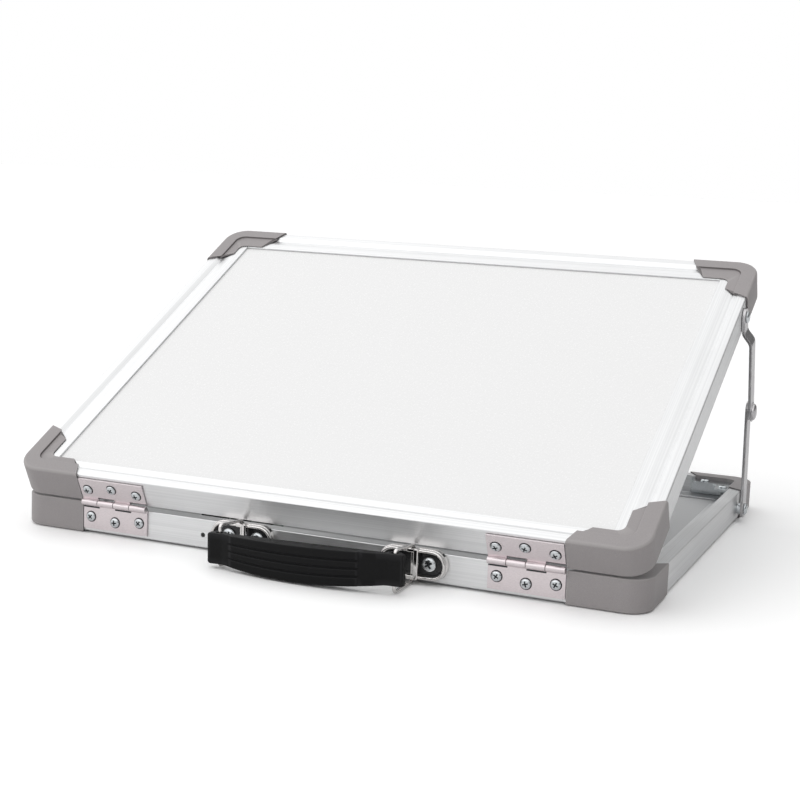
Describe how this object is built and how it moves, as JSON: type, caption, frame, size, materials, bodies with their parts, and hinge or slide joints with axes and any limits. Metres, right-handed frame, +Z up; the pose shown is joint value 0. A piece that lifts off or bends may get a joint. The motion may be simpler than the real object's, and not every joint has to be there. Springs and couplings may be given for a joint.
{
  "type": "light box",
  "caption": "Folding light box for tracing: a slim case with metal rails and grey corner caps, its opal lid hinged along the front and propped by folding side stays, with a strap handle.",
  "frame": {"origin": "centre of the bounding box at the floor, with the lid propped open", "axes": "+X to the right along the hinged front edge, +Y from the hinge and handle towards the rear, +Z up"},
  "size_m": [0.4722, 0.3964, 0.198],
  "materials": {
    "rail_aluminium": "brushed",
    "corner_grey": "satin moulded",
    "drawing_white": "opal, semi gloss",
    "floor_white": "satin",
    "back_white": "satin",
    "guide_clear": "clear",
    "led_board": "satin",
    "circuit_board": "satin",
    "socket_black": "satin",
    "brace_steel": "zinc plated",
    "hinge_steel": "satin",
    "screw_steel": "bright plated",
    "bracket_chrome": "polished",
    "loop_chrome": "polished",
    "stay_steel": "bright plated",
    "rivet_steel": "bright plated",
    "strap_black": "satin, lengthwise grooves"
  },
  "bodies": {
    "tray": {"corner_brace_left": "brace_steel", "corner_brace_right": "brace_steel", "driver_board": "circuit_board", "handle_bracket_left": "bracket_chrome", "handle_bracket_right": "bracket_chrome", "handle_screw_left_a": "screw_steel", "handle_screw_left_b": "screw_steel", "handle_screw_right_a": "screw_steel", "handle_screw_right_b": "screw_steel", "hinge_left_lower_plate": "hinge_steel", "hinge_left_lower_screw_1": "screw_steel", "hinge_left_lower_screw_2": "screw_steel", "hinge_left_lower_screw_3": "screw_steel", "hinge_left_pin": "hinge_steel", "hinge_right_lower_plate": "hinge_steel", "hinge_right_lower_screw_1": "screw_steel", "hinge_right_lower_screw_2": "screw_steel", "hinge_right_lower_screw_3": "screw_steel", "hinge_right_pin": "hinge_steel", "power_socket": "socket_black", "stay_left_base_rivet": "rivet_steel", "stay_right_base_rivet": "rivet_steel", "tray_cap_front_left": "corner_grey", "tray_cap_front_right": "corner_grey", "tray_cap_rear_left": "corner_grey", "tray_cap_rear_right": "corner_grey", "tray_floor_panel": "floor_white", "tray_rail_front": "rail_aluminium", "tray_rail_left": "rail_aluminium", "tray_rail_rear": "rail_aluminium", "tray_rail_right": "rail_aluminium"},
    "lid": {"drawing_panel": "drawing_white", "hinge_left_upper_plate": "hinge_steel", "hinge_left_upper_screw_1": "screw_steel", "hinge_left_upper_screw_2": "screw_steel", "hinge_left_upper_screw_3": "screw_steel", "hinge_right_upper_plate": "hinge_steel", "hinge_right_upper_screw_1": "screw_steel", "hinge_right_upper_screw_2": "screw_steel", "hinge_right_upper_screw_3": "screw_steel", "led_strip": "led_board", "lid_back_panel": "back_white", "lid_cap_front_left": "corner_grey", "lid_cap_front_right": "corner_grey", "lid_cap_rear_left": "corner_grey", "lid_cap_rear_right": "corner_grey", "lid_rail_front": "rail_aluminium", "lid_rail_left": "rail_aluminium", "lid_rail_rear": "rail_aluminium", "lid_rail_right": "rail_aluminium", "light_guide": "guide_clear", "stay_left_lid_rivet": "rivet_steel", "stay_right_lid_rivet": "rivet_steel"},
    "stay_lower_left": {"stay_left_lower_arm": "stay_steel"},
    "stay_upper_left": {"stay_left_upper_arm": "stay_steel"},
    "stay_lower_right": {"stay_right_lower_arm": "stay_steel"},
    "stay_upper_right": {"stay_right_upper_arm": "stay_steel"},
    "loop_left": {"handle_loop_left": "loop_chrome"},
    "loop_right": {"handle_loop_right": "loop_chrome"},
    "strap": {"handle_strap": "strap_black"}
  },
  "joints": [
    {"name": "lid_hinge", "type": "hinge", "parent": "tray", "child": "lid", "pos_m": [0, -0.15595, 0.0225], "axis": [1, 0, 0], "range_deg": [-26, 0]},
    {"name": "stay_lower_left_turn", "type": "hinge", "parent": "tray", "child": "stay_lower_left", "pos_m": [-0.2292, 0.13635, 0.01], "axis": [1, 0, 0], "range_deg": [0, 68.6]},
    {"name": "stay_upper_left_turn", "type": "hinge", "parent": "lid", "child": "stay_upper_left", "pos_m": [-0.2292, 0.10186, 0.1607], "axis": [1, 0, 0], "range_deg": [-80.5, 0]},
    {"name": "stay_lower_right_turn", "type": "hinge", "parent": "tray", "child": "stay_lower_right", "pos_m": [0.2292, 0.13635, 0.01], "axis": [1, 0, 0], "range_deg": [0, 68.6]},
    {"name": "stay_upper_right_turn", "type": "hinge", "parent": "lid", "child": "stay_upper_right", "pos_m": [0.2292, 0.10186, 0.1607], "axis": [1, 0, 0], "range_deg": [-80.5, 0]},
    {"name": "loop_left_swing", "type": "hinge", "parent": "tray", "child": "loop_left", "pos_m": [-0.049, -0.15705, 0.0134], "axis": [0, 0, 1], "range_deg": [-60, 60]},
    {"name": "loop_right_swing", "type": "hinge", "parent": "tray", "child": "loop_right", "pos_m": [0.074, -0.15705, 0.0134], "axis": [0, 0, 1], "range_deg": [-60, 60]},
    {"name": "strap_swing", "type": "hinge", "parent": "loop_left", "child": "strap", "pos_m": [-0.049, -0.18705, 0.0134], "axis": [0, 0, 1], "range_deg": [-60, 60]}
  ],
  "couplings": [
    {"joint": "stay_lower_left_turn", "follows": "lid_hinge", "ratio": -2.6337},
    {"joint": "stay_upper_left_turn", "follows": "lid_hinge", "ratio": 3.0934},
    {"joint": "stay_lower_right_turn", "follows": "lid_hinge", "ratio": -2.6337},
    {"joint": "stay_upper_right_turn", "follows": "lid_hinge", "ratio": 3.0934},
    {"joint": "loop_right_swing", "follows": "loop_left_swing", "ratio": 1},
    {"joint": "strap_swing", "follows": "loop_left_swing", "ratio": -1}
  ]
}
